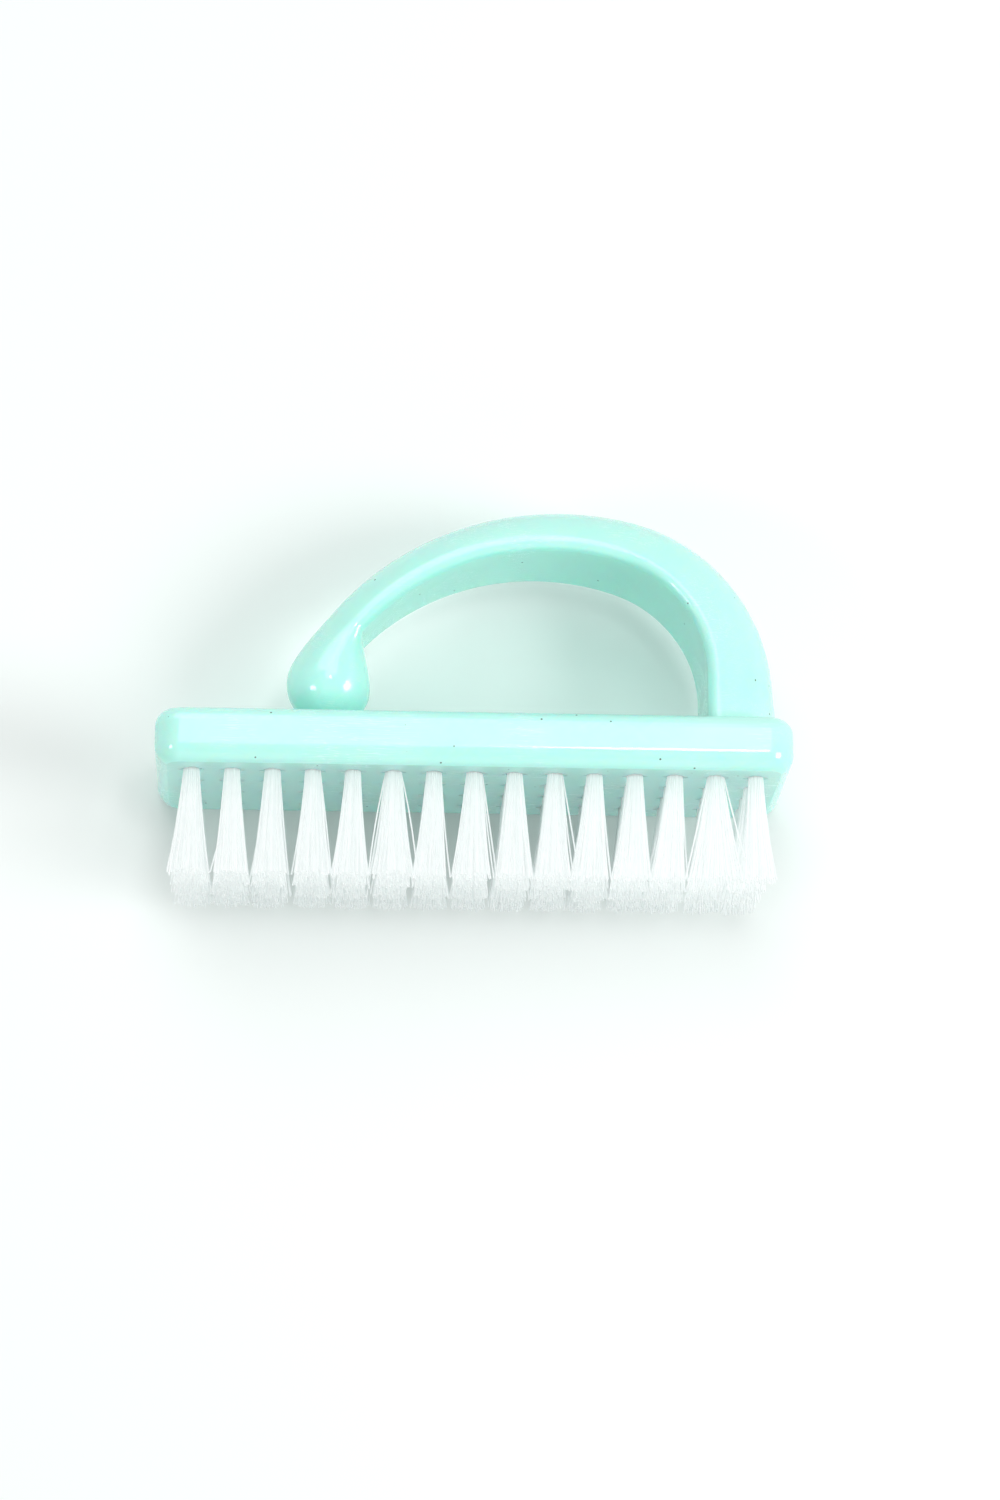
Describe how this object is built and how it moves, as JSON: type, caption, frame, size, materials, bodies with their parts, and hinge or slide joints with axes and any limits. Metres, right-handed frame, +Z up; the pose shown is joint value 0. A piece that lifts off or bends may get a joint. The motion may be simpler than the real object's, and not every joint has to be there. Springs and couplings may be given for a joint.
{
  "type": "nail brush",
  "caption": "Nail brush with a rounded block, an open hook handle that ends in a ball knob, and rows of flared white tufts.",
  "frame": {"origin": "under the centre of the brush's box, on the surface that it lies on, with the block's lower long side flat on that surface", "axes": "+X along the block towards the handle's root, +Y from the bristle tips to the handle's arch, +Z up out of the block's upper long side"},
  "size_m": [0.095, 0.0597, 0.03],
  "materials": {
    "mint_plastic": "gloss moulded",
    "white_nylon": "trimmed filament",
    "anchor_wire": "plain flat wire"
  },
  "bodies": {
    "root": {"brush_body": "mint_plastic", "tuft_column_01": "white_nylon", "tuft_column_02": "white_nylon", "tuft_column_03": "white_nylon", "tuft_column_04": "white_nylon", "tuft_column_05": "white_nylon", "tuft_column_06": "white_nylon", "tuft_column_07": "white_nylon", "tuft_column_08": "white_nylon", "tuft_column_09": "white_nylon", "tuft_column_10": "white_nylon", "tuft_column_11": "white_nylon", "tuft_column_12": "white_nylon", "tuft_column_13": "white_nylon", "tuft_column_14": "white_nylon", "tuft_column_15": "white_nylon", "anchor_column_01": "anchor_wire", "anchor_column_02": "anchor_wire", "anchor_column_03": "anchor_wire", "anchor_column_04": "anchor_wire", "anchor_column_05": "anchor_wire", "anchor_column_06": "anchor_wire", "anchor_column_07": "anchor_wire", "anchor_column_08": "anchor_wire", "anchor_column_09": "anchor_wire", "anchor_column_10": "anchor_wire", "anchor_column_11": "anchor_wire", "anchor_column_12": "anchor_wire", "anchor_column_13": "anchor_wire", "anchor_column_14": "anchor_wire", "anchor_column_15": "anchor_wire"}
  },
  "joints": []
}
